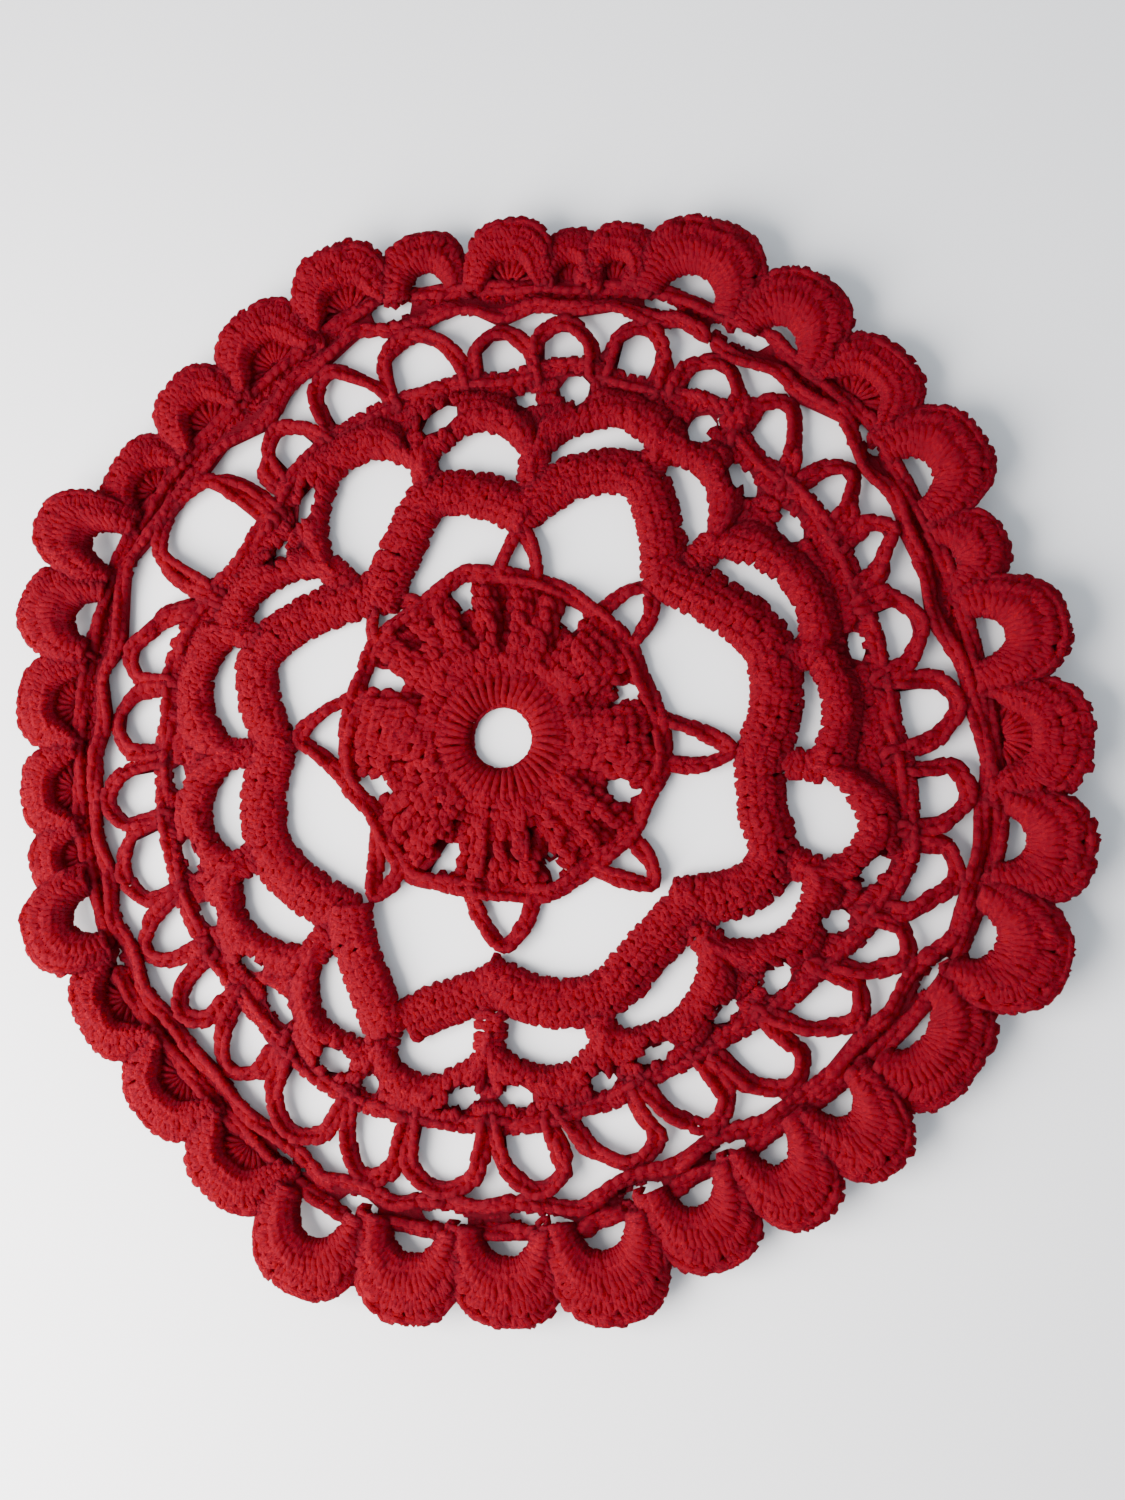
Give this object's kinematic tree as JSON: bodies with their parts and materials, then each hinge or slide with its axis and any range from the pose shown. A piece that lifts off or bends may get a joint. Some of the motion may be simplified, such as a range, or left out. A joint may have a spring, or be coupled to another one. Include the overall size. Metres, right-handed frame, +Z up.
{
  "type": "crocheted doily",
  "caption": "Round openwork crocheted cotton doily with a petalled centre, wavy bands, a lattice of chain loops and a scalloped edge that curls up.",
  "frame": {"origin": "middle of the doily's bounding box, on the table that it lies on", "axes": "+Z up, out of the right side of the crochet; +X to the right and +Y away, as the doily lies in the picture"},
  "size_m": [0.2408, 0.2428, 0.0105],
  "materials": {
    "red_cotton": "matt crocheted cotton"
  },
  "bodies": {
    "root": {"doily": "red_cotton"}
  },
  "joints": []
}
